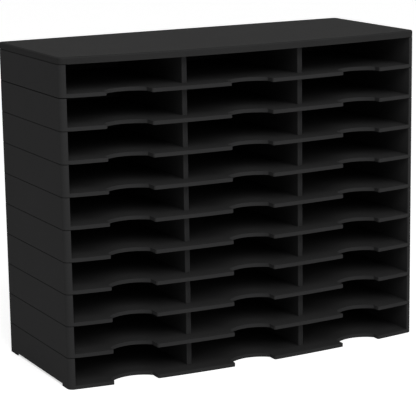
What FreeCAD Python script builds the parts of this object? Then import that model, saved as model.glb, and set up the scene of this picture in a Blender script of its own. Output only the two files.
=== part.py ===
import FreeCAD, Part
import math
import os
import Sketcher

# Literature organizer: a stack of full-width moulded trays with a one-piece lid.
#
# Each tray carries its own end walls, its back and a down-turned front rail that is
# notched for the fingers. Loose hollow dividers part every tray into three letter-size
# compartments. The front of every tray, and of the lid, is a shallow arc that bulges
# forward in the middle, while the dividers stand in a straight line behind it.
#
# Frame: X to the right, Y to the rear, Z up. The origin is the middle of the bounding
# box on the surface that the organizer stands on. All sizes are millimetres.

doc = FreeCAD.newDocument("literature_organizer")
sheet = doc.addObject("Spreadsheet::Sheet", "Sizes")

# Driving sizes

SIZES = {
    # whole organizer
    "overall_width": 798.0,
    "side_depth": 309.0,
    "front_bow": 28.0,
    "tier_count": 10,
    "column_count": 3,
    "tier_pitch": 63.5,
    "lid_height": 14.0,
    "wall": 2.5,
    "clearance": 0.3,
    # tray
    "end_wall_width": 13.0,
    "rail_height": 7.5,
    "front_corner_radius": 12.0,
    "rear_corner_radius": 6.0,
    # finger recess
    "recess_width": 92.0,
    "recess_side": 22.0,
    "recess_depth": 41.0,
    "recess_bevel": 2.0,
    # locating tabs on the end walls and bosses under the dividers
    "tab_length": 30.0,
    "tab_height": 11.0,
    "tab_end_gap": 45.0,
    "boss_height": 2.5,
    # divider
    "divider_width": 11.0,
    "divider_setback": 11.7,
    "divider_bevel": 1.0,
    "groove_width": 1.2,
    "groove_depth": 0.6,
    # feet of the lowest tray
    "side_relief": 5.0,
    "front_foot": 34.0,
    "rear_foot": 40.0,
    # lid
    "lid_edge_bevel": 2.0,
}


def fill_sheet():
    """Write every driving size into the sheet, one row each, under its own alias."""
    for row, (name, value) in enumerate(SIZES.items(), start=1):
        sheet.set(f"A{row}", name)
        sheet.set(f"B{row}", str(value))
        sheet.setAlias(f"B{row}", name)
    doc.recompute()


fill_sheet()


def size(name):
    """The present value of a driving size."""
    return float(sheet.get(name))


# Places that several pieces share, as expressions on the sheet


def arc_over(chord, bulge):
    """The bulge of an arc and its radius, as expressions, from the length of its chord."""
    return bulge, f"((({chord}) / 2)^2 + ({bulge})^2) / (2 * ({bulge}))"


HALF_WIDTH = "Sizes.overall_width / 2"
BACK = "(Sizes.side_depth + Sizes.front_bow) / 2"
CHORD = "(Sizes.front_bow - Sizes.side_depth) / 2"
APEX = "-(Sizes.side_depth + Sizes.front_bow) / 2"
INNER_X = "Sizes.overall_width / 2 - Sizes.end_wall_width"
BOW = arc_over("Sizes.overall_width", "Sizes.front_bow")
BOW_RADIUS = BOW[1]
DIVIDER_FRONT = f"{CHORD} + Sizes.divider_setback"
FLOOR_TOP = "Sizes.rail_height"
COLUMN_PITCH = "(Sizes.overall_width - 2 * Sizes.end_wall_width + Sizes.divider_width) / Sizes.column_count"


def value(expression):
    """Evaluate an expression on the sheet."""
    return float(sheet.evalExpression(expression))


def bow_front(x):
    """Expression for the Y of the bowed front at an X given as an expression."""
    return f"{APEX} + ({BOW_RADIUS}) - sqrt(({BOW_RADIUS})^2 - ({x})^2)"


def column_middle(column):
    """Expression for the X of the middle of a column, counted from 0 on the left."""
    return f"({COLUMN_PITCH}) * ({column} - (Sizes.column_count - 1) / 2)"


def tray_height(tier):
    """Expression for the Z of the lower edge of a tray, counted from 1 at the bottom."""
    return f"Sizes.tier_pitch * {tier - 1}"


def divider_middle(line):
    """Expression for the X of a divider line, counted from 0 on the left."""
    return f"({COLUMN_PITCH}) * ({line} + 1 - Sizes.column_count / 2)"


# Sketches: closed outlines whose corners are pinned to expressions


def new_sketch(body, name, height="0"):
    """A sketch on the body's own XY plane, raised to a height given as an expression."""
    plane = next(item for item in body.Origin.OriginFeatures if item.Role == "XY_Plane")
    sketch = body.newObject("Sketcher::SketchObject", name)
    sketch.AttachmentSupport = [(plane, "")]
    sketch.MapMode = "FlatFace"
    sketch.setExpression("AttachmentOffset.Base.z", height)
    return sketch


def pin(sketch, edge, end, corner):
    """Hold one end of an edge at a corner given as two expressions."""
    for kind, expression in zip(("DistanceX", "DistanceY"), corner):
        number = sketch.addConstraint(Sketcher.Constraint(kind, -1, 1, edge, end, value(expression)))
        sketch.setExpression(f"Constraints[{number}]", expression)


def outline(sketch, corners, arcs=None):
    """Draw a closed outline. arcs maps a side's number to (bulge, radius): the side from
    that corner to the next is an arc that bulges to its right by bulge (left when the
    bulge is negative) and has that radius. Both are expressions."""
    arcs = arcs or {}
    points = [FreeCAD.Vector(value(x), value(y), 0) for x, y in corners]
    for number, start in enumerate(points):
        finish = points[(number + 1) % len(points)]
        if number in arcs:
            bulge, radius = arcs[number]
            along = finish - start
            across = FreeCAD.Vector(along.y, -along.x, 0).normalize()
            through = (start + finish) * 0.5 + across * value(bulge)
            edge = sketch.addGeometry(Part.Arc(start, through, finish))
            ends = (1, 2) if value(bulge) > 0 else (2, 1)
            item = sketch.addConstraint(Sketcher.Constraint("Radius", edge, value(radius)))
            sketch.setExpression(f"Constraints[{item}]", radius)
            pin(sketch, edge, ends[0], corners[number])
            pin(sketch, edge, ends[1], corners[(number + 1) % len(points)])
        else:
            edge = sketch.addGeometry(Part.LineSegment(start, finish))
            pin(sketch, edge, 1, corners[number])
            pin(sketch, edge, 2, corners[(number + 1) % len(points)])


def rectangle(sketch, left, right, front, rear):
    """Draw a closed rectangle between four expressions."""
    outline(sketch, [(left, front), (right, front), (right, rear), (left, rear)])


def slab_outline(sketch):
    """The plan of a tray or of the lid: straight sides and back, bowed front."""
    outline(
        sketch,
        [
            (f"-{HALF_WIDTH}", CHORD),
            (HALF_WIDTH, CHORD),
            (HALF_WIDTH, BACK),
            (f"-{HALF_WIDTH}", BACK),
        ],
        {0: BOW},
    )


# Features


def pad(body, sketch, name, length):
    """Raise a sketch by a length given as an expression."""
    feature = body.newObject("PartDesign::Pad", name)
    feature.Profile = sketch
    feature.setExpression("Length", length)
    doc.recompute()


def pocket(body, sketch, name, length):
    """Cut a sketch upwards by a length given as an expression, and prove that it cuts."""
    before = body.Shape.Volume
    feature = body.newObject("PartDesign::Pocket", name)
    feature.Profile = sketch
    feature.setExpression("Length", length)
    feature.Reversed = True
    doc.recompute()
    if not body.Shape.Volume < before:
        raise RuntimeError(f"{body.Label}: {name} cuts nothing")


def upright_edges(shape, places):
    """Names of the vertical edges that stand at the given (x, y) expressions."""
    near = 0.01
    wanted = [(value(x), value(y)) for x, y in places]
    names = []
    for number, edge in enumerate(shape.Edges, start=1):
        low, high = edge.Vertexes[0].Point, edge.Vertexes[-1].Point
        upright = math.hypot(low.x - high.x, low.y - high.y) < near
        if upright and any(math.hypot(low.x - x, low.y - y) < near for x, y in wanted):
            names.append(f"Edge{number}")
    return names


def round_corners(body, name, places, radius):
    """Fillet the vertical edges at some places with one radius."""
    base = body.Tip
    feature = body.newObject("PartDesign::Fillet", name)
    feature.Base = (base, upright_edges(base.Shape, places))
    feature.setExpression("Radius", radius)
    doc.recompute()


def bevel_corners(body, name, places, width):
    """Chamfer the vertical edges at some places by one width."""
    base = body.Tip
    feature = body.newObject("PartDesign::Chamfer", name)
    feature.Base = (base, upright_edges(base.Shape, places))
    feature.setExpression("Size", width)
    doc.recompute()


def round_slab_corners(body):
    """Round the two front and the two rear corners of a tray or of the lid."""
    front = [(HALF_WIDTH, CHORD), (f"-{HALF_WIDTH}", CHORD)]
    rear = [(HALF_WIDTH, BACK), (f"-{HALF_WIDTH}", BACK)]
    round_corners(body, "front_corners", front, "Sizes.front_corner_radius")
    round_corners(body, "rear_corners", rear, "Sizes.rear_corner_radius")


def hollow_from_below(body, name):
    """Leave a skin of one wall thickness, open at the bottom."""
    before = body.Shape.Volume
    base = body.Tip
    near = 0.001
    names = [
        f"Face{number}"
        for number, face in enumerate(base.Shape.Faces, start=1)
        if abs(face.CenterOfMass.z) < near and face.normalAt(0, 0).z < near - 1
    ]
    feature = body.newObject("PartDesign::Thickness", name)
    feature.Base = (base, names)
    feature.setExpression("Value", "Sizes.wall")
    feature.Reversed = True
    feature.Mode = "Skin"
    feature.Join = "Arc"
    feature.Intersection = True
    doc.recompute()
    if not body.Shape.Volume < before:
        raise RuntimeError(f"{body.Label}: {name} hollows nothing")


def new_body(label, height="0", side="0"):
    """A body placed at a height, and at a distance to the right, given as expressions."""
    body = doc.addObject("PartDesign::Body", label)
    body.Label = label
    body.setExpression("Placement.Base.z", height)
    body.setExpression("Placement.Base.x", side)
    return body


def repeat_body(pattern, label, height, side="0"):
    """A further body of the same shape as the pattern, at a place of its own."""
    body = new_body(label, height, side)
    base = body.newObject("PartDesign::FeatureBase", "same_shape")
    base.BaseFeature = pattern.Tip
    body.Tip = base
    doc.recompute()
    return body


# Trays


def notch(sketch, column, mouth, grow):
    """Draw one finger recess in plan, grown all round, and return the X of its two sides.
    It has a mouth, straight sides up to its shoulders, and a rounded bottom."""
    middle = column_middle(column)
    width = f"(Sizes.recess_width + 2 * {grow})"
    left = f"{middle} - {width} / 2"
    right = f"{middle} + {width} / 2"
    shoulder = f"{bow_front(middle)} + Sizes.recess_side"
    corners = [(left, mouth(left)), (right, mouth(right)), (right, shoulder), (left, shoulder)]
    outline(sketch, corners, {2: arc_over(width, f"(Sizes.recess_depth - Sizes.recess_side + {grow})")})
    return left, right


def in_the_rail(x):
    """The Y of the middle of the rail's skin at an X."""
    return f"{bow_front(x)} + Sizes.wall / 2"


def before_the_rail(x):
    """A Y that is clear of the rail, in front of it, at an X."""
    return f"{bow_front(x)} - Sizes.front_bow"


def add_recess_collars(body):
    """Thicken the floor around each finger recess down to the rail's lower edge."""
    sketch = new_sketch(body, "recess_collar_plan")
    for column in range(int(size("column_count"))):
        notch(sketch, column, in_the_rail, "Sizes.wall")
    pad(body, sketch, "recess_collars", FLOOR_TOP)


def cut_recesses(body):
    """Cut the finger recesses through the floor and rail, and bevel their front corners."""
    sketch = new_sketch(body, "finger_recess_plan")
    mouths = []
    for column in range(int(size("column_count"))):
        left, right = notch(sketch, column, before_the_rail, "0")
        mouths += [(left, bow_front(left)), (right, bow_front(right))]
    pocket(body, sketch, "finger_recesses", "Sizes.tier_pitch")
    bevel_corners(body, "recess_corners", mouths, "Sizes.recess_bevel")


def add_end_tabs(body):
    """Stand two locating tabs on each end wall, for the hollow wall of the next tray."""
    sketch = new_sketch(body, "end_tab_plan", "Sizes.tier_pitch")
    outside = f"{HALF_WIDTH} - Sizes.wall - Sizes.clearance"
    inside = f"{INNER_X} + Sizes.wall + Sizes.clearance"
    front = f"{CHORD} + Sizes.tab_end_gap"
    rear = f"{BACK} - Sizes.tab_end_gap"
    for start, finish in ((front, f"{front} + Sizes.tab_length"), (f"{rear} - Sizes.tab_length", rear)):
        rectangle(sketch, inside, outside, start, finish)
        rectangle(sketch, f"-({outside})", f"-({inside})", start, finish)
    pad(body, sketch, "end_tabs", "Sizes.tab_height")


def add_divider_bosses(body):
    """Stand two bosses on the floor at each divider line, to fit inside the divider."""
    sketch = new_sketch(body, "divider_boss_plan", FLOOR_TOP)
    half = "(Sizes.divider_width / 2 - Sizes.wall - Sizes.clearance)"
    front = f"{DIVIDER_FRONT} + Sizes.tab_end_gap"
    rear = f"{BACK} - Sizes.tab_end_gap"
    for line in range(int(size("column_count")) - 1):
        middle = divider_middle(line)
        for start, finish in ((front, f"{front} + Sizes.tab_length"), (f"{rear} - Sizes.tab_length", rear)):
            rectangle(sketch, f"{middle} - {half}", f"{middle} + {half}", start, finish)
    pad(body, sketch, "divider_bosses", "Sizes.boss_height")


def cut_side_reliefs(body):
    """Raise the lower edge of both sides between a short front foot and a rear foot."""
    sketch = new_sketch(body, "side_relief_plan")
    inside = f"{INNER_X} + Sizes.wall"
    outside = f"{HALF_WIDTH} + Sizes.wall"
    front = f"{CHORD} + Sizes.front_foot"
    rear = f"{BACK} - Sizes.rear_foot"
    rectangle(sketch, inside, outside, front, rear)
    rectangle(sketch, f"-({outside})", f"-({inside})", front, rear)
    pocket(body, sketch, "side_reliefs", "Sizes.side_relief")


def make_tray(tier):
    """One tray in full, counted from 1 at the bottom of the stack."""
    body = new_body(f"tray_{tier}", tray_height(tier))

    plan = new_sketch(body, "tray_plan")
    slab_outline(plan)
    pad(body, plan, "tray_block", "Sizes.tier_pitch")

    room = new_sketch(body, "room_plan", FLOOR_TOP)
    rectangle(room, f"-({INNER_X})", INNER_X, f"{APEX} - Sizes.wall", f"{BACK} + Sizes.wall")
    pocket(body, room, "room_above_floor", "Sizes.tier_pitch")

    round_slab_corners(body)
    hollow_from_below(body, "moulded_skin")
    add_recess_collars(body)
    cut_recesses(body)

    back = new_sketch(body, "back_plan")
    rectangle(back, f"-({INNER_X})", INNER_X, f"{BACK} - Sizes.wall", BACK)
    pad(body, back, "back_wall", "Sizes.tier_pitch")

    add_end_tabs(body)
    add_divider_bosses(body)
    return body


def make_trays():
    """The whole stack of trays. All are alike, but the lowest stands on feet."""
    pattern = make_tray(2)
    lowest = repeat_body(pattern, "tray_1", tray_height(1))
    cut_side_reliefs(lowest)
    upper = [
        repeat_body(pattern, f"tray_{tier}", tray_height(tier))
        for tier in range(3, int(size("tier_count")) + 1)
    ]
    return [lowest, pattern, *upper]


# Dividers


def make_divider(label, height, side):
    """One hollow divider in full, which stands on the floor of its tray."""
    body = new_body(label, height, side)
    half = "Sizes.divider_width / 2"
    rear = f"{BACK} - Sizes.wall"
    plan = new_sketch(body, "divider_plan")
    rectangle(plan, f"-{half}", half, DIVIDER_FRONT, rear)
    pad(body, plan, "divider_block", "Sizes.tier_pitch - Sizes.wall")
    hollow_from_below(body, "moulded_skin")
    corners = [(half, DIVIDER_FRONT), (f"-{half}", DIVIDER_FRONT)]
    bevel_corners(body, "front_corners", corners, "Sizes.divider_bevel")
    groove = new_sketch(body, "groove_plan")
    edge = "Sizes.groove_width / 2"
    groove_bottom = f"{DIVIDER_FRONT} + Sizes.groove_depth"
    rectangle(groove, f"-{edge}", edge, f"{DIVIDER_FRONT} - Sizes.wall", groove_bottom)
    pocket(body, groove, "front_groove", "Sizes.tier_pitch")
    return body


def make_dividers():
    """Two dividers on every tray, each as high as the room up to the next floor."""
    dividers = []
    for tier in range(1, int(size("tier_count")) + 1):
        height = f"{tray_height(tier)} + {FLOOR_TOP}"
        for line, side_name in enumerate(("left", "right")):
            label = f"divider_{side_name}_{tier}"
            if dividers:
                body = repeat_body(dividers[0], label, height, divider_middle(line))
            else:
                body = make_divider(label, height, divider_middle(line))
            dividers.append(body)
    return dividers


# Lid


def bevel_top_edge(body):
    """Bevel the upper rim of the lid."""
    base = body.Tip
    near = 0.001
    names = [
        f"Edge{number}"
        for number, edge in enumerate(base.Shape.Edges, start=1)
        if all(abs(corner.Point.z - size("lid_height")) < near for corner in edge.Vertexes)
    ]
    feature = body.newObject("PartDesign::Chamfer", "top_edge")
    feature.Base = (base, names)
    feature.setExpression("Size", "Sizes.lid_edge_bevel")
    doc.recompute()


def make_lid():
    """The lid: a plate with a skirt all round, and ribs down to the top dividers."""
    body = new_body("lid", "Sizes.tier_pitch * Sizes.tier_count")
    plan = new_sketch(body, "lid_plan")
    slab_outline(plan)
    pad(body, plan, "lid_block", "Sizes.lid_height")
    round_slab_corners(body)
    hollow_from_below(body, "moulded_skin")
    bevel_top_edge(body)

    divider_top = "Sizes.rail_height - Sizes.wall"
    ribs = new_sketch(body, "rib_plan", divider_top)
    outer = "Sizes.divider_width / 2"
    inner = f"({outer} - Sizes.wall)"
    rear = f"{BACK} - Sizes.wall"
    for line in range(int(size("column_count")) - 1):
        middle = divider_middle(line)
        rectangle(ribs, f"{middle} - {outer}", f"{middle} - {inner}", DIVIDER_FRONT, rear)
        rectangle(ribs, f"{middle} + {inner}", f"{middle} + {outer}", DIVIDER_FRONT, rear)
    pad(body, ribs, "divider_ribs", f"Sizes.lid_height - Sizes.wall - ({divider_top})")
    return body


# The whole stack

pieces = [*make_trays(), *make_dividers(), make_lid()]
doc.recompute()

# Every object is sound, and every piece is one closed solid, before anything is written

for item in doc.Objects:
    if "Invalid" in item.State or "Error" in item.State:
        raise RuntimeError(f"{item.Name} did not recompute: {item.State}")
for piece in pieces:
    shape = piece.Shape
    if shape.isNull() or not shape.isValid() or len(shape.Solids) != 1:
        raise RuntimeError(f"{piece.Label} is not one valid solid")

os.makedirs("parts", exist_ok=True)
for piece in pieces:
    piece.Shape.exportStep(f"parts/{piece.Label}.step")
    print(f"{piece.Label}: {piece.Shape.Volume / 1000:.1f} cm3, {len(piece.Shape.Faces)} faces")
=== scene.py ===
# %% [markdown]
# # A stackable literature organizer in black moulded plastic
#
# This lesson dresses a finished construction model. The model arrives as a fixed frame:
# every piece already has its real size and place, in metres, with X to the right, Y to the
# rear and Z up. The work here is what a moulder would call the finish: soft edges where the
# steel mould was rounded, a fine satin grain, and a plain photographic light.
#
# The organizer is ten wide trays that stack, two hollow dividers on each tray, and a lid.
# The tiers are nearly alike, so most trays come from one finished moulding, and all the
# dividers from another.

import math

import bmesh
import bpy
from mathutils import Matrix, Vector


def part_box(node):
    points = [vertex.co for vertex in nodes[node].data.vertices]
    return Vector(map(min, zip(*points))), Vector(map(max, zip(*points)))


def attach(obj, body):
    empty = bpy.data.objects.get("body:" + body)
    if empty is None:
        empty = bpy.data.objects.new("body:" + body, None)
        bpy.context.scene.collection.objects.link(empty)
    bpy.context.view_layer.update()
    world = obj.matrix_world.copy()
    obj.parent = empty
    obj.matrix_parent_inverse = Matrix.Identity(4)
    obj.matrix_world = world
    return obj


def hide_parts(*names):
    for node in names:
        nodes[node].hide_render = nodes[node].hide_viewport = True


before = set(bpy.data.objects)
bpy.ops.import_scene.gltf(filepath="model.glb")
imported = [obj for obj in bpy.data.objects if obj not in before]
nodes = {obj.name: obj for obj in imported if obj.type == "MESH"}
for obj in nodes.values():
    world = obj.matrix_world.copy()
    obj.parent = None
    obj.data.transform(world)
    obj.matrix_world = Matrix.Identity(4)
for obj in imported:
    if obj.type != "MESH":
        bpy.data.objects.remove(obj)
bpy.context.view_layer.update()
tiers = sum(1 for node in nodes if node.startswith("tray_"))
print("pieces in the frame:", len(nodes), "tiers:", tiers)

# %% [markdown]
# ## Measure the stack
#
# Nothing is typed twice. The step from one tray to the next, and the distance between the
# two dividers of a tray, are read from the frame, so the dressed pieces always land where
# the construction puts them. The second tray serves as the pattern, because the lowest has
# feet that no other tray has.

# %% Read the spacing from the frame
PATTERN_TIER = 2


def middle_x(node):
    """The X of the middle of a node."""
    low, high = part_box(node)
    return (low.x + high.x) / 2


tier_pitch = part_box("tray_3")[0].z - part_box("tray_2")[0].z
divider_spacing = middle_x("divider_right_1") - middle_x("divider_left_1")
print("tier pitch:", round(tier_pitch, 4), "divider spacing:", round(divider_spacing, 4))

# %% [markdown]
# ## Turn loose triangles into whole faces
#
# A moulded part has no knife edges, but the frame's meshes are loose triangles with sharp
# corners. Before an edge can be rounded, a copy is welded, and its flat regions are joined
# into whole faces, so that only the real edges are left. A bevel modifier could round them
# too, but working in bmesh also tells us which faces are new. They are marked with an
# attribute, so that a material can treat them in its own way.

# %% Weld, join and bevel
WELD_DISTANCE = 0.000002
FLAT_ANGLE = math.radians(0.4)


def welded(node):
    """A bmesh of a node's shape with its triangles joined into whole flat faces."""
    shape = bmesh.new()
    shape.from_mesh(nodes[node].data)
    bmesh.ops.remove_doubles(shape, verts=shape.verts, dist=WELD_DISTANCE)
    bmesh.ops.dissolve_limit(shape, angle_limit=FLAT_ANGLE, verts=shape.verts, edges=shape.edges)
    return shape


def bevel(shape, edges, radius, steps, mark, value=1.0):
    """Bevel some edges by a radius in metres and mark the new faces with a value."""
    made = bmesh.ops.bevel(
        shape,
        geom=edges,
        offset=radius,
        offset_type="OFFSET",
        segments=steps,
        profile=0.5,
        affect="EDGES",
        clamp_overlap=True,
    )
    for face in made["faces"]:
        face[mark] = value


pattern_tray = f"tray_{PATTERN_TIER}"
sample = welded(pattern_tray)
triangles = len(nodes[pattern_tray].data.polygons)
print("a tray's", triangles, "triangles become", len(sample.faces), "whole faces")

# %% [markdown]
# ## The grooves between the tiers
#
# Where one tray stands on another, the outside of the real stack shows a fine dark line
# round the end walls and the back. A painted line alone has no depth, so the edges that meet
# are cut back a little, so that two cuts form a small groove, and the material paints shade
# into that groove too. The edges are found by a rule: they lie level, at the height of a
# seam, on the outside of an end wall or of the back. An end wall is 13 mm wide, and the rule
# allows a tenth of a millimetre more. Along the back it looks in a band of one millimetre.

# %% Find the edges of a seam
SAME_LEVEL = 0.0001
END_WALL = 0.0131
BACK_BAND = 0.001
UPRIGHT = 0.5
shell_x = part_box("lid")[1].x - END_WALL
shell_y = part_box("lid")[1].y - BACK_BAND


def faces_outward(face):
    """Does an upright face look away from the middle of the organizer?"""
    middle = face.calc_center_median()
    outward = face.normal.x * middle.x + face.normal.y * middle.y > 0
    return outward and abs(face.normal.z) < UPRIGHT


def on_the_shell(edge):
    """Does an edge lie on an end wall or on the back, where the tiers meet?"""
    middle = (edge.verts[0].co + edge.verts[1].co) / 2
    return abs(middle.x) > shell_x or middle.y > shell_y


def seam_edges(shape, height):
    """The outer edges of the shell that lie level at a height."""
    found = []
    for edge in shape.edges:
        level = all(abs(corner.co.z - height) < SAME_LEVEL for corner in edge.verts)
        if level and edge.is_manifold and edge.is_convex and on_the_shell(edge):
            if any(faces_outward(face) for face in edge.link_faces):
                found.append(edge)
    return found


print("edges in a tray's lower seam:", len(seam_edges(sample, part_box(pattern_tray)[0].z)))
sample.free()

# %% [markdown]
# ## Soften the other edges
#
# Every sharp edge that isn't part of a seam gets a narrow bevel in two steps, which reads
# as round. Two attributes go with the mesh: one marks the softened edges, and the other
# holds how much painted shade the material puts in a groove, 1 for a gap that stands open
# and less where two trays sit close.

# %% Make a finished moulding
SHARP_ANGLE = math.radians(35)
EDGE_MARK = "moulded_edge"
# The seam attribute holds the strength of the painted shade in each groove.
SEAM_SHADE_MARK = "tier_seam_painted_shade"
SEAM_DEPTH = 0.0009
SEAM_STEPS = 1
EDGE_STEPS = 2


def soften(shape, radius, seams):
    """Cut back the seams, each a height and a painted shade, then bevel the other sharp edges.
    """
    edge_mark = shape.faces.layers.float.new(EDGE_MARK)
    seam_shade_layer = shape.faces.layers.float.new(SEAM_SHADE_MARK)
    # Each groove's faces carry the strength of the painted shade they get.
    for height, painted_shade in seams:
        bevel(shape, seam_edges(shape, height), SEAM_DEPTH, SEAM_STEPS, seam_shade_layer, painted_shade)
    sharp = []
    for edge in shape.edges:
        if edge.is_manifold and edge.calc_face_angle() > SHARP_ANGLE:
            if not any(face[seam_shade_layer] for face in edge.link_faces):
                sharp.append(edge)
    bevel(shape, sharp, radius, EDGE_STEPS, edge_mark)


def moulding(node, name, radius, seams=(), shift=(0, 0, 0)):
    """A mesh of a node with its seams cut back and its edges softened, moved by a shift."""
    shape = welded(node)
    soften(shape, radius, seams)
    bmesh.ops.translate(shape, verts=shape.verts, vec=Vector(shift))
    mesh = bpy.data.meshes.new(name)
    shape.to_mesh(mesh)
    shape.free()
    mesh.polygons.foreach_set("use_smooth", [True] * len(mesh.polygons))
    print(name, "faces:", len(mesh.polygons))
    return mesh


# %% [markdown]
# ## Helpers for materials
#
# A node material can be wired by hand in the editor, but in a script the same few moves
# come back again and again: add a node, make a noise, map a factor to a range, mix two
# colours. Each gets a helper, so that the material itself reads like a recipe.

# %% Add, vary, map and mix
def add_node(tree, kind, **values):
    """Add a node and set its plain properties."""
    node = tree.nodes.new(kind)
    for name, value in values.items():
        setattr(node, name, value)
    return node


def noise(tree, coordinates, scale, detail):
    """A noise pattern on object coordinates, with the scale in features per metre."""
    node = add_node(tree, "ShaderNodeTexNoise")
    node.inputs["Scale"].default_value = scale
    node.inputs["Detail"].default_value = detail
    tree.links.new(coordinates, node.inputs["Vector"])
    return node.outputs["Fac"]


def between(tree, factor, low, high):
    """Map a factor from 0..1 to low..high."""
    node = add_node(tree, "ShaderNodeMapRange")
    node.inputs["To Min"].default_value = low
    node.inputs["To Max"].default_value = high
    tree.links.new(factor, node.inputs["Value"])
    return node.outputs["Result"]


def mix_colours(tree, factor, first, second):
    """Mix two colours, each a tuple or a socket, by a factor socket."""
    node = add_node(tree, "ShaderNodeMix", data_type="RGBA")
    tree.links.new(factor, node.inputs["Factor"])
    for name, colour in (("A", first), ("B", second)):
        socket = next(item for item in node.inputs if item.name == name and item.type == "RGBA")
        if isinstance(colour, tuple):
            socket.default_value = (*colour, 1.0)
        else:
            tree.links.new(colour, socket)
    return next(item for item in node.outputs if item.type == "RGBA")


def toned(colour, share):
    """A colour made lighter or darker by a share of itself."""
    return tuple(channel * share for channel in colour)


# %% [markdown]
# ## The colour of black plastic
#
# The plastic is black, but not a flat black. Large soft clouds vary its tone, as pigment
# and mould temperature do. Surfaces that face up carry a trace of dust. The softened edges
# are lighter, partly from wear by hands and neighbours and partly as a painted highlight,
# and the grooves between the tiers are darker with painted shade, as little light gets into
# them. All patterns read object coordinates, so they stay put when a tier is lifted.

# %% Clouds, dust, worn edges with painted highlight, and grooves with painted shade
CLOUD_SCALE = 9.0
CLOUD_DETAIL = 4.0
CLOUD_DARK = 0.88
CLOUD_LIGHT = 1.14
DUST_SCALE = 45.0
DUST_DETAIL = 6.0
DUST_COLOUR = (0.20, 0.195, 0.185)
# The worn-edge tone is partly wear and partly a painted highlight on the softened edges.
WEAR_AND_HIGHLIGHT_TONE = 1.5
WEAR_AND_HIGHLIGHT_SHARE = 0.6
# The groove tone is painted shade, for the little light that gets between the tiers.
PAINTED_SEAM_SHADE = 0.1


def attribute(tree, name):
    """The value of a mesh attribute."""
    return add_node(tree, "ShaderNodeAttribute", attribute_name=name).outputs["Fac"]


def settled_dust(tree, place, dust):
    """A speckled factor up to dust, on surfaces that face up only."""
    normal = add_node(tree, "ShaderNodeNewGeometry").outputs["Normal"]
    upward = add_node(tree, "ShaderNodeSeparateXYZ")
    tree.links.new(normal, upward.inputs["Vector"])
    settled = add_node(tree, "ShaderNodeMath", operation="MULTIPLY", use_clamp=True)
    tree.links.new(upward.outputs["Z"], settled.inputs[0])
    tree.links.new(noise(tree, place, DUST_SCALE, DUST_DETAIL), settled.inputs[1])
    return between(tree, settled.outputs["Value"], 0.0, dust)


def plastic_colour(tree, place, clouds, tone, dust):
    """A clouded tone, then dust, worn edges with a painted highlight and painted groove shade.
    """
    plain = mix_colours(tree, clouds, toned(tone, CLOUD_DARK), toned(tone, CLOUD_LIGHT))
    dusty = mix_colours(tree, settled_dust(tree, place, dust), plain, DUST_COLOUR)
    # Softened edges are made lighter, partly as wear and partly as a painted highlight.
    wear_and_highlight = between(tree, attribute(tree, EDGE_MARK), 0.0, WEAR_AND_HIGHLIGHT_SHARE)
    edged = mix_colours(tree, wear_and_highlight, dusty, toned(tone, WEAR_AND_HIGHLIGHT_TONE))
    # The grooves are darkened with painted shade.
    return mix_colours(tree, attribute(tree, SEAM_SHADE_MARK), edged, toned(tone, PAINTED_SEAM_SHADE))


print("patterns per metre: clouds", CLOUD_SCALE, "dust", DUST_SCALE)

# %% [markdown]
# ## Its satin grain
#
# An etched mould leaves a grain too fine to model, so a very fine noise drives a bump. The
# broad satin varies with the same clouds as the colour, and the worn edges are smoother.
# The sheen stays low, because this plastic scatters almost all the light that it returns.
# It is one number all over the surface, so it is set on the shader's own socket.

# %% Roughness, grain and the finished plastics
GRAIN_SCALE = 1400.0
GRAIN_DETAIL = 2.0
GRAIN_STRENGTH = 0.35
GRAIN_HEIGHT = 0.00008
SMOOTHER = -0.05
ROUGHER = 0.07
WORN_POLISH = -0.10
SHEEN = 0.012


def satin_roughness(tree, clouds, roughness):
    """A roughness that varies with the clouds and is lower on worn edges."""
    satin = between(tree, clouds, roughness + SMOOTHER, roughness + ROUGHER)
    polished = add_node(tree, "ShaderNodeMath", operation="MULTIPLY_ADD")
    polished.inputs[1].default_value = WORN_POLISH
    tree.links.new(attribute(tree, EDGE_MARK), polished.inputs[0])
    tree.links.new(satin, polished.inputs[2])
    return polished.outputs["Value"]


def etched_grain(tree, place):
    """The bumped normal of a fine mould grain."""
    bump = add_node(tree, "ShaderNodeBump")
    bump.inputs["Strength"].default_value = GRAIN_STRENGTH
    bump.inputs["Distance"].default_value = GRAIN_HEIGHT
    tree.links.new(noise(tree, place, GRAIN_SCALE, GRAIN_DETAIL), bump.inputs["Height"])
    return bump.outputs["Normal"]


def moulded_plastic(name, tone, roughness, dust):
    """Satin plastic of one tone: clouds, grain, dust, worn edges with painted highlight, painted
    groove shade.
    """
    material = bpy.data.materials.new(name)
    material.use_nodes = True
    tree = material.node_tree
    shader = tree.nodes["Principled BSDF"]
    place = add_node(tree, "ShaderNodeTexCoord").outputs["Object"]
    clouds = noise(tree, place, CLOUD_SCALE, CLOUD_DETAIL)
    tree.links.new(plastic_colour(tree, place, clouds, tone, dust), shader.inputs["Base Color"])
    tree.links.new(satin_roughness(tree, clouds, roughness), shader.inputs["Roughness"])
    tree.links.new(etched_grain(tree, place), shader.inputs["Normal"])
    shader.inputs["Specular IOR Level"].default_value = SHEEN
    print(name, "tone:", tone, "nodes:", len(tree.nodes))
    return material


BLACK = (0.027, 0.027, 0.0273)
LID_BLACK = (0.022, 0.022, 0.022)
SATIN = 0.72
LITTLE_DUST = 0.02
tray_plastic = moulded_plastic("tray_plastic", BLACK, SATIN, LITTLE_DUST)
divider_plastic = moulded_plastic("divider_plastic", BLACK, SATIN, LITTLE_DUST)
lid_plastic = moulded_plastic("lid_plastic", LID_BLACK, SATIN, LITTLE_DUST)

# %% [markdown]
# ## Repeat what is alike with Geometry Nodes
#
# A tier is a row of equal mouldings: one tray, or two dividers side by side. One small node
# tree makes any such row. It draws a line of points, puts the incoming moulding on each,
# lifts the row to its tier, makes the copies real and gives them their plastic. The count,
# the spacing, the lift and the finish are named inputs, so the same tree serves the whole
# stack. A plain Array modifier could repeat along X, but the tree states the rule of the
# stack in one place.

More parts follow.
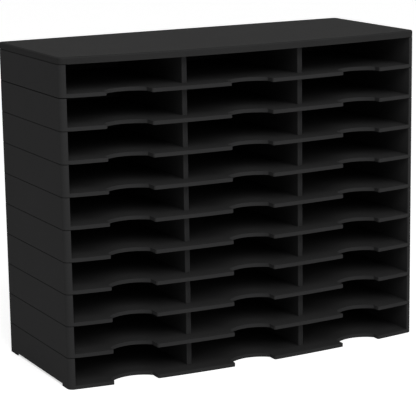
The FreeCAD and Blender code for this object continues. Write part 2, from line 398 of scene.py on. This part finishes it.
# %% Lay out the points of a row
ROW_INPUTS = (
    ("Moulding", "NodeSocketGeometry"),
    ("Count", "NodeSocketInt"),
    ("Spacing", "NodeSocketFloat"),
    ("Lift", "NodeSocketFloat"),
    ("Finish", "NodeSocketMaterial"),
)
print("a row takes:", [label for label, kind in ROW_INPUTS])


def row_points(tree, given):
    """A line of points along X, centred on X = 0 and lifted."""
    gaps = add_node(tree, "ShaderNodeMath", operation="SUBTRACT")
    gaps.inputs[1].default_value = 1.0
    tree.links.new(given["Count"], gaps.inputs[0])
    length = add_node(tree, "ShaderNodeMath", operation="MULTIPLY")
    tree.links.new(gaps.outputs["Value"], length.inputs[0])
    tree.links.new(given["Spacing"], length.inputs[1])
    first_x = add_node(tree, "ShaderNodeMath", operation="MULTIPLY")
    first_x.inputs[1].default_value = -0.5
    tree.links.new(length.outputs["Value"], first_x.inputs[0])

    start = add_node(tree, "ShaderNodeCombineXYZ")
    tree.links.new(first_x.outputs["Value"], start.inputs["X"])
    tree.links.new(given["Lift"], start.inputs["Z"])
    step = add_node(tree, "ShaderNodeCombineXYZ")
    tree.links.new(given["Spacing"], step.inputs["X"])
    line = add_node(tree, "GeometryNodeMeshLine", mode="OFFSET")
    tree.links.new(given["Count"], line.inputs["Count"])
    tree.links.new(start.outputs["Vector"], line.inputs["Start Location"])
    tree.links.new(step.outputs["Vector"], line.inputs["Offset"])
    return line.outputs["Mesh"]


# %% Build the tree
def make_row_tree():
    """A tree that repeats a moulding along X, centred, and lifts the row."""
    tree = bpy.data.node_groups.new("row_of_mouldings", "GeometryNodeTree")
    tree.is_modifier = True
    for label, kind in ROW_INPUTS:
        tree.interface.new_socket(name=label, in_out="INPUT", socket_type=kind)
    tree.interface.new_socket(name="Row", in_out="OUTPUT", socket_type="NodeSocketGeometry")

    given = add_node(tree, "NodeGroupInput").outputs
    copies = add_node(tree, "GeometryNodeInstanceOnPoints")
    tree.links.new(row_points(tree, given), copies.inputs["Points"])
    tree.links.new(given["Moulding"], copies.inputs["Instance"])
    real = add_node(tree, "GeometryNodeRealizeInstances")
    tree.links.new(copies.outputs["Instances"], real.inputs["Geometry"])
    finish = add_node(tree, "GeometryNodeSetMaterial")
    tree.links.new(real.outputs["Geometry"], finish.inputs["Geometry"])
    tree.links.new(given["Finish"], finish.inputs["Material"])
    result = add_node(tree, "NodeGroupOutput")
    tree.links.new(finish.outputs["Geometry"], result.inputs["Row"])
    return tree


row_tree = make_row_tree()
row_sockets = {item.name: item.identifier for item in row_tree.interface.items_tree}
print("row tree:", len(row_tree.nodes), "nodes, sockets", row_sockets)

# %% [markdown]
# ## From the tree to plain pieces
#
# The modifier's inputs are set before the object is looked at for the first time. A second
# modifier weights the normals by face area, which keeps the broad faces truly flat in the
# light while the narrow bevels turn smoothly. The result is then copied out as a plain
# mesh, and the modifiers go.

# %% Make one row into a plain piece
def settle(piece):
    """Replace a piece's mesh by what its modifiers make of it."""
    depsgraph = bpy.context.evaluated_depsgraph_get()
    result = bpy.data.meshes.new_from_object(piece.evaluated_get(depsgraph))
    piece.modifiers.clear()
    piece.data = result


def add_row(name, mesh, body, replaced, count=1, spacing=0.0, lift=0.0, finish=None):
    """Lay out a row of mouldings, make it plain and let it ride on its body."""
    piece = bpy.data.objects.new(name, mesh)
    bpy.context.scene.collection.objects.link(piece)
    row = piece.modifiers.new("row", "NODES")
    row.node_group = row_tree
    row[row_sockets["Count"]] = count
    row[row_sockets["Spacing"]] = spacing
    row[row_sockets["Lift"]] = lift
    row[row_sockets["Finish"]] = finish
    weighted = piece.modifiers.new("flat_faces_stay_flat", "WEIGHTED_NORMAL")
    weighted.keep_sharp = True
    settle(piece)
    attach(piece, body)
    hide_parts(*replaced)
    print(name, "rides on", body, "with", len(piece.data.polygons), "faces")
    return piece


# %% [markdown]
# ## The trays
#
# The lowest tray is its own moulding, because its sides are cut away between small feet.
# All trays above it are one moulding at different heights, but the two at the top get
# copies of their own: the top tray sits a little less firmly than the others, so the groove
# below it gets a darker painted shade. An edge radius of half a millimetre is what such
# trays have: enough to catch a thin line of light, and far less than the wall is thick.

# %% Mould the trays
TRAY_EDGE = 0.0005
# How strong the painted shade in a groove is: less where trays sit close, full where the gap is
# open.
CLOSE_SEAM_SHADE = 0.55
OPEN_SEAM_SHADE = 1.0


def tray(tier, name, below=CLOSE_SEAM_SHADE, above=CLOSE_SEAM_SHADE):
    """A tray's moulding, with the painted shade of the seams at its lower and upper end."""
    low_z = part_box(f"tray_{tier}")[0].z
    seams = [(low_z, below), (low_z + tier_pitch, above)]
    if below is None:
        seams = seams[1:]
    return moulding(f"tray_{tier}", name, TRAY_EDGE, seams)


own_trays = {
    1: tray(1, "lowest_tray", below=None),
    tiers - 1: tray(tiers - 1, "second_tray", above=OPEN_SEAM_SHADE),
    tiers: tray(tiers, "top_tray", below=OPEN_SEAM_SHADE),
}
middle_tray = tray(PATTERN_TIER, "middle_tray")

# %% Stack the trays
for tier in range(1, tiers + 1):
    own = own_trays.get(tier)
    add_row(
        f"tray_moulding_{tier}",
        own or middle_tray,
        f"tier_{tier}",
        [f"tray_{tier}"],
        lift=0.0 if own else (tier - PATTERN_TIER) * tier_pitch,
        finish=tray_plastic,
    )

# %% [markdown]
# ## The dividers
#
# Each divider is a hollow wall with a fine groove down the middle of its front edge. The
# pattern is moved to the middle of the organizer first, because the tree lays the row out
# evenly about X = 0.

# %% Dress the dividers
DIVIDER_EDGE = 0.0004
pattern_divider = f"divider_left_{PATTERN_TIER}"
to_the_middle = (-middle_x(pattern_divider), 0, 0)
divider = moulding(pattern_divider, "divider", DIVIDER_EDGE, shift=to_the_middle)
for tier in range(1, tiers + 1):
    add_row(
        f"divider_pair_{tier}",
        divider,
        f"tier_{tier}",
        [f"divider_left_{tier}", f"divider_right_{tier}"],
        count=2,
        spacing=divider_spacing,
        lift=(tier - PATTERN_TIER) * tier_pitch,
        finish=divider_plastic,
    )

# %% [markdown]
# ## The lid
#
# The lid's upper rim already has its bevel from the construction. Its lower rim meets the
# top tray in one more groove, and its ribs need their edges broken.

# %% Dress the lid
LID_EDGE = 0.0005
# The groove under the lid gets the painted shade of a close seam.
lid_seam = (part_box("lid")[0].z, CLOSE_SEAM_SHADE)
lid = moulding("lid", "lid_shape", LID_EDGE, [lid_seam])
add_row("lid_moulding", lid, "lid", ["lid"], finish=lid_plastic)

# %% [markdown]
# ## The floor
#
# The organizer stands on a plain pale floor, whose edges are far outside the view. Lamps
# strong enough to make the floor look white would make the organizer too light. So the
# floor's material glows a little, but only for the eye: a Light Path node tells rays that
# come from the camera, straight, by gloss or through glass, from those that carry light.
# The organizer gets no light from the glow, and its shadow stays.

# %% Tell what the eye sees
def seen_directly(tree):
    """1 for rays that show the surroundings to the eye, straight, by gloss or through glass."""
    path = add_node(tree, "ShaderNodeLightPath").outputs
    eye = path["Is Camera Ray"]
    for other in ("Is Glossy Ray", "Is Transmission Ray"):
        either = add_node(tree, "ShaderNodeMath", operation="MAXIMUM")
        tree.links.new(eye, either.inputs[0])
        tree.links.new(path[other], either.inputs[1])
        eye = either.outputs["Value"]
    return eye


# %% Lay the floor
FLOOR_HALF = 9.0
FLOOR_LIFT = 0.60
FLOOR_DARK = (0.93, 0.93, 0.93)
FLOOR_LIGHT = (0.95, 0.95, 0.95)
FLOOR_CLOUDS = 1.5
FLOOR_DETAIL = 2.0
FLOOR_ROUGHNESS = 0.9
FLOOR_SHEEN = 0.1
WHITE = (1.0, 1.0, 1.0, 1.0)


def pale_floor():
    """A matt floor with a faint unevenness, which the eye sees lifted towards white."""
    material = bpy.data.materials.new("pale_floor")
    material.use_nodes = True
    tree = material.node_tree
    shader = tree.nodes["Principled BSDF"]
    place = add_node(tree, "ShaderNodeTexCoord").outputs["Object"]
    clouds = noise(tree, place, FLOOR_CLOUDS, FLOOR_DETAIL)
    uneven = mix_colours(tree, clouds, FLOOR_DARK, FLOOR_LIGHT)
    tree.links.new(uneven, shader.inputs["Base Color"])
    shader.inputs["Roughness"].default_value = FLOOR_ROUGHNESS
    shader.inputs["Specular IOR Level"].default_value = FLOOR_SHEEN
    shader.inputs["Emission Color"].default_value = WHITE
    lift = between(tree, seen_directly(tree), 0.0, FLOOR_LIFT)
    tree.links.new(lift, shader.inputs["Emission Strength"])
    return material


around = ((-1, -1), (1, -1), (1, 1), (-1, 1))
floor_corners = [(x * FLOOR_HALF, y * FLOOR_HALF, 0) for x, y in around]
floor_mesh = bpy.data.meshes.new("studio_floor")
floor_mesh.from_pydata(floor_corners, [], [(0, 1, 2, 3)])
floor_mesh.materials.append(pale_floor())
floor = bpy.data.objects.new("studio_floor", floor_mesh)
bpy.context.scene.collection.objects.link(floor)
print("floor:", 2 * FLOOR_HALF, "m wide, lifted by", FLOOR_LIFT)

# %% [markdown]
# ## The world
#
# The world does two jobs. It is the white background that the eye sees, and it fills the
# shadows with an even, rather dim light. One strength can't do both, so the same test for
# the eye chooses between two backgrounds.

# %% World
AMBIENT = 0.38


def background(tree, node, strength):
    """Set a background node to white light of a strength and give its output."""
    node.inputs["Color"].default_value = WHITE
    node.inputs["Strength"].default_value = strength
    return node.outputs["Background"]


def studio_world():
    """White where the eye sees it, an even grey where it only lights."""
    world = bpy.data.worlds.new("studio")
    world.use_nodes = True
    tree = world.node_tree
    felt = background(tree, tree.nodes["Background"], AMBIENT)
    seen = background(tree, add_node(tree, "ShaderNodeBackground"), 1.0)
    choose = add_node(tree, "ShaderNodeMixShader")
    tree.links.new(seen_directly(tree), choose.inputs["Fac"])
    tree.links.new(felt, choose.inputs[1])
    tree.links.new(seen, choose.inputs[2])
    tree.links.new(choose.outputs["Shader"], tree.nodes["World Output"].inputs["Surface"])
    return world


bpy.context.scene.world = studio_world()
print("world: white for the eye,", AMBIENT, "as light")

# %% [markdown]
# ## The lamps
#
# The light is as plain as possible: a large soft box high in front gives the lid and the
# front their tone, and a second one, lower and further right, reaches into the
# compartments. Both are large, so no shadow has a hard edge.

# %% Lamps
def softbox(name, place, aim, side, watts):
    """A square area lamp at a place, turned to an aim."""
    data = bpy.data.lights.new(name, "AREA")
    data.shape = "SQUARE"
    data.size = side
    data.energy = watts
    lamp = bpy.data.objects.new(name, data)
    bpy.context.scene.collection.objects.link(lamp)
    lamp.location = place
    lamp.rotation_mode = "QUATERNION"
    lamp.rotation_quaternion = (Vector(aim) - Vector(place)).to_track_quat("-Z", "Y")
    print(name, side, "m wide,", watts, "W")
    return lamp


organizer_middle = (0.0, 0.0, 0.32)
softbox("high_front_box", (-0.9, -3.0, 2.9), organizer_middle, side=2.4, watts=75)
softbox("front_box", (1.6, -3.6, 1.9), organizer_middle, side=2.0, watts=32)

# %% [markdown]
# ## The camera
#
# The camera stands to the front left and a little above, with a long lens, so that upright
# edges hardly converge. Its place and its three angles were worked out from the straight
# edges of the organizer in the photograph.

# %% Camera
CAMERA_PLACE = (-1.658, -3.139, 1.054)
CAMERA_YAW = math.radians(27.62)
CAMERA_PITCH = math.radians(12.12)
CAMERA_ROLL = math.radians(-0.86)
CAMERA_LENS = 151.07
SENSOR_WIDTH = 36.0


def photo_camera():
    """A camera that looks along the yaw, down by the pitch, tilted by the roll."""
    data = bpy.data.cameras.new("photo_camera")
    data.lens = CAMERA_LENS
    data.sensor_width = SENSOR_WIDTH
    camera = bpy.data.objects.new("photo_camera", data)
    bpy.context.scene.collection.objects.link(camera)
    level = Matrix.Rotation(-CAMERA_YAW, 4, "Z")
    look = Matrix.Rotation(math.radians(90) - CAMERA_PITCH, 4, "X")
    tilt = Matrix.Rotation(CAMERA_ROLL, 4, "Z")
    camera.matrix_world = Matrix.Translation(CAMERA_PLACE) @ level @ look @ tilt
    return camera


scene = bpy.context.scene
scene.camera = photo_camera()
scene.view_settings.view_transform = "Standard"
camera_axes = scene.camera.matrix_world.to_3x3()
print("camera looks along", [round(value, 4) for value in -camera_axes.col[2]])
